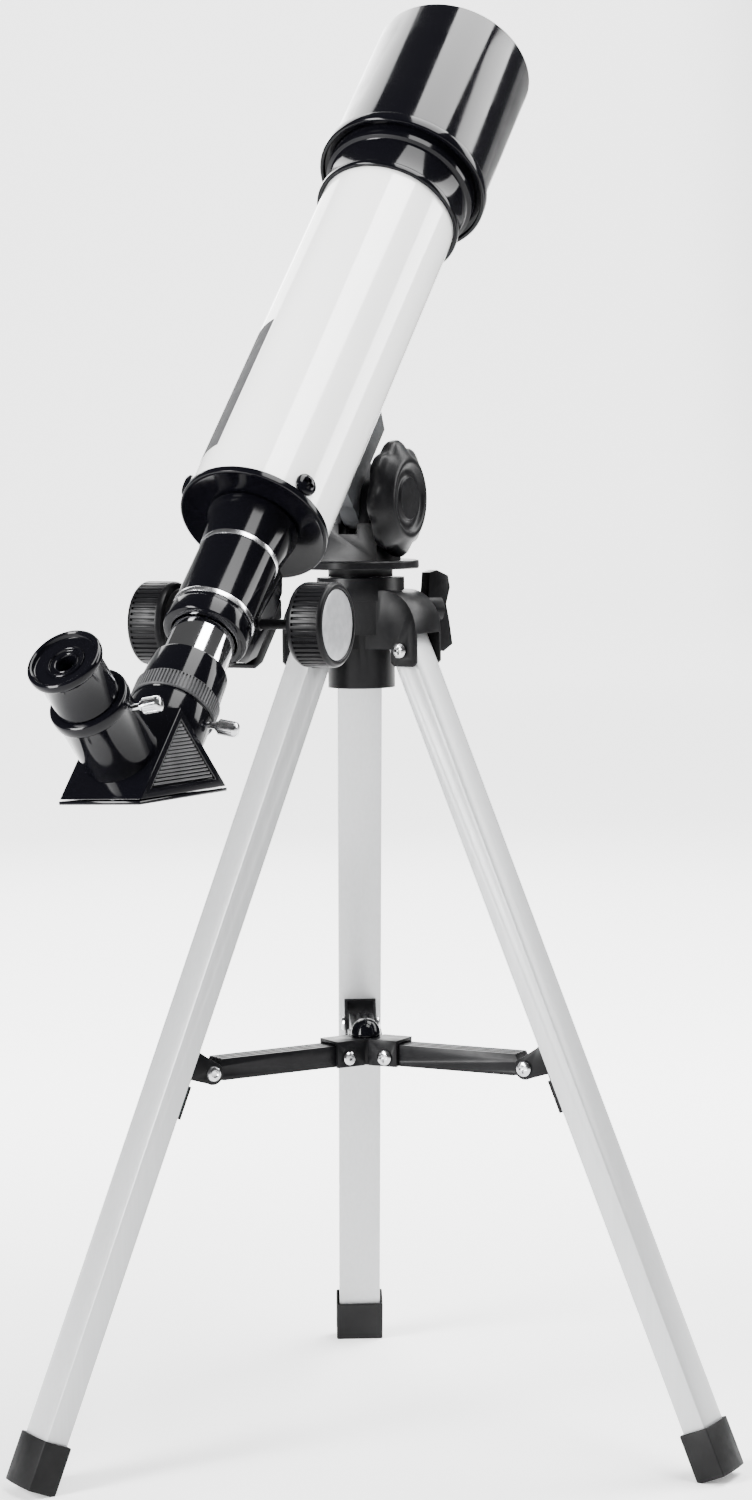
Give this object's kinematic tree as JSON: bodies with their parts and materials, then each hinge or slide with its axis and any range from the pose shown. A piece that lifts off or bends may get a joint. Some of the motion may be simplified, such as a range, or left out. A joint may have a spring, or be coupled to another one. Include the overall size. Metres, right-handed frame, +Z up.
{
  "type": "telescope on tripod",
  "caption": "Small white refracting telescope with black dew shield, rack focuser and angled diagonal, on a folding aluminium tripod.",
  "frame": {"origin": "at floor level under the middle of the whole, 29.25 mm in front of the tripod's vertical axis", "axes": "+Z up; +Y towards the back leg; the tube points up and away, turned 26.75 degrees from +Y towards +X"},
  "size_m": [0.2996, 0.3944, 0.6075],
  "materials": {
    "gloss_black": "gloss",
    "black_plastic": "satin",
    "white_enamel": "gloss",
    "grey_metal": "satin",
    "chrome_tube": "polished",
    "anodised_aluminium": "satin",
    "steel_screws": "polished",
    "brass_gear": "satin",
    "optical_glass": "coated",
    "mirror_face": "polished"
  },
  "bodies": {
    "head": {"tripod_head": "black_plastic", "leg_screw_back": "steel_screws", "leg_screw_left": "steel_screws", "leg_screw_right": "steel_screws"},
    "fork": {"altitude_fork": "black_plastic", "azimuth_bolt": "steel_screws", "azimuth_nut": "steel_screws", "altitude_bolt": "steel_screws"},
    "azimuth_lock": {"azimuth_lock_knob": "black_plastic"},
    "altitude_knob": {"altitude_knob": "black_plastic"},
    "tube": {"tube_saddle": "grey_metal", "main_tube": "white_enamel", "tube_baffle": "black_plastic", "rear_cap": "gloss_black", "rear_cap_screw_1": "black_plastic", "rear_cap_screw_2": "black_plastic", "rear_cap_screw_3": "black_plastic", "dew_shield": "gloss_black", "objective_cell": "gloss_black", "objective_lens": "optical_glass", "lens_retaining_ring": "black_plastic", "focuser_barrel": "gloss_black", "pinion_cover": "black_plastic"},
    "focus_knobs": {"focus_shaft": "steel_screws", "focus_pinion": "brass_gear", "focus_knob_right": "black_plastic", "focus_knob_left": "black_plastic"},
    "drawtube": {"drawtube": "chrome_tube", "focus_rack": "black_plastic", "eyepiece_holder": "gloss_black"},
    "holder_thumbscrew": {"holder_thumbscrew": "steel_screws"},
    "diagonal": {"diagonal_housing": "gloss_black", "diagonal_mirror": "mirror_face", "diagonal_back_plate": "gloss_black"},
    "eyepiece_thumbscrew": {"eyepiece_thumbscrew": "steel_screws"},
    "eyepiece": {"eyepiece_body": "gloss_black", "eye_lens": "optical_glass", "field_lens": "optical_glass"},
    "hub": {"spreader_hub": "black_plastic", "hub_cap": "gloss_black", "hub_screw_back": "steel_screws", "hub_screw_left": "steel_screws", "hub_screw_right": "steel_screws"},
    "leg_back": {"leg_back": "anodised_aluminium", "foot_back": "black_plastic", "leg_bracket_back": "black_plastic", "bracket_screw_back": "steel_screws"},
    "arm_back": {"spreader_arm_back": "black_plastic"},
    "leg_left": {"leg_left": "anodised_aluminium", "foot_left": "black_plastic", "leg_bracket_left": "black_plastic", "bracket_screw_left": "steel_screws"},
    "arm_left": {"spreader_arm_left": "black_plastic"},
    "leg_right": {"leg_right": "anodised_aluminium", "foot_right": "black_plastic", "leg_bracket_right": "black_plastic", "bracket_screw_right": "steel_screws"},
    "arm_right": {"spreader_arm_right": "black_plastic"}
  },
  "joints": [
    {"name": "azimuth", "type": "hinge", "parent": "head", "child": "fork", "pos_m": [0, 0.02925, 0.367], "axis": [0, 0, 1], "continuous": true},
    {"name": "azimuth_lock", "type": "hinge", "parent": "head", "child": "azimuth_lock", "pos_m": [0, 0.02925, 0.349], "axis": [0.866, 0.5, 0], "range_deg": [0, 180]},
    {"name": "altitude", "type": "hinge", "parent": "fork", "child": "tube", "pos_m": [0, 0.02925, 0.396], "axis": [0.893, -0.4501, 0], "range_deg": [-54, 28]},
    {"name": "altitude_knob", "type": "hinge", "parent": "fork", "child": "altitude_knob", "pos_m": [0, 0.02925, 0.396], "axis": [0.893, -0.4501, 0], "range_deg": [0, 270]},
    {"name": "focus", "type": "hinge", "parent": "tube", "child": "focus_knobs", "pos_m": [-0.04957, -0.06909, 0.34914], "axis": [0.893, -0.4501, 0], "range_deg": [-200.6, 480]},
    {"name": "drawtube_slide", "type": "slide", "parent": "tube", "child": "drawtube", "axis": [-0.3218, -0.6384, -0.6992], "range_m": [-0.014, 0.0335]},
    {"name": "holder_screw", "type": "hinge", "parent": "drawtube", "child": "holder_thumbscrew", "pos_m": [-0.07656, -0.12265, 0.31707], "axis": [0.9426, -0.2857, -0.173], "range_deg": [0, 180]},
    {"name": "diagonal_turn", "type": "hinge", "parent": "drawtube", "child": "diagonal", "pos_m": [-0.07656, -0.12265, 0.31707], "axis": [0.3218, 0.6384, 0.6992], "range_deg": [-90, 90]},
    {"name": "eyepiece_screw", "type": "hinge", "parent": "diagonal", "child": "eyepiece_thumbscrew", "pos_m": [-0.10157, -0.16767, 0.32178], "axis": [0.9206, -0.3515, 0.1701], "range_deg": [0, 180]},
    {"name": "eyepiece_slide", "type": "slide", "parent": "diagonal", "child": "eyepiece", "axis": [-0.361, -0.5999, 0.714], "range_m": [0, 0.018]},
    {"name": "leg_fold_back", "type": "hinge", "parent": "head", "child": "leg_back", "pos_m": [0, 0.05345, 0.3336], "axis": [1, 0, 0], "range_deg": [-9, 0]},
    {"name": "leg_fold_left", "type": "hinge", "parent": "head", "child": "leg_left", "pos_m": [-0.02096, 0.01715, 0.3336], "axis": [-0.5, 0.866, 0], "range_deg": [-9, 0]},
    {"name": "leg_fold_right", "type": "hinge", "parent": "head", "child": "leg_right", "pos_m": [0.02096, 0.01715, 0.3336], "axis": [-0.5, -0.866, 0], "range_deg": [-9, 0]},
    {"name": "hub_rise", "type": "slide", "parent": "head", "child": "hub", "axis": [0, 0, 1], "range_m": [0, 0.0482]},
    {"name": "arm_fold_back", "type": "hinge", "parent": "hub", "child": "arm_back", "pos_m": [0, 0.04205, 0.1626], "axis": [1, 0, 0], "range_deg": [-57.1, 0]},
    {"name": "arm_fold_left", "type": "hinge", "parent": "hub", "child": "arm_left", "pos_m": [-0.01108, 0.02285, 0.1626], "axis": [-0.5, 0.866, 0], "range_deg": [-57.1, 0]},
    {"name": "arm_fold_right", "type": "hinge", "parent": "hub", "child": "arm_right", "pos_m": [0.01108, 0.02285, 0.1626], "axis": [-0.5, -0.866, 0], "range_deg": [-57.1, 0]}
  ],
  "couplings": [
    {"joint": "focus", "follows": "drawtube_slide", "rad_per_m": 250},
    {"joint": "leg_fold_left", "follows": "leg_fold_back", "ratio": 1},
    {"joint": "leg_fold_right", "follows": "leg_fold_back", "ratio": 1},
    {"joint": "hub_rise", "follows": "leg_fold_back", "m_per_rad": -0.3068},
    {"joint": "arm_fold_back", "follows": "leg_fold_back", "ratio": 6.343},
    {"joint": "arm_fold_left", "follows": "leg_fold_back", "ratio": 6.343},
    {"joint": "arm_fold_right", "follows": "leg_fold_back", "ratio": 6.343}
  ]
}
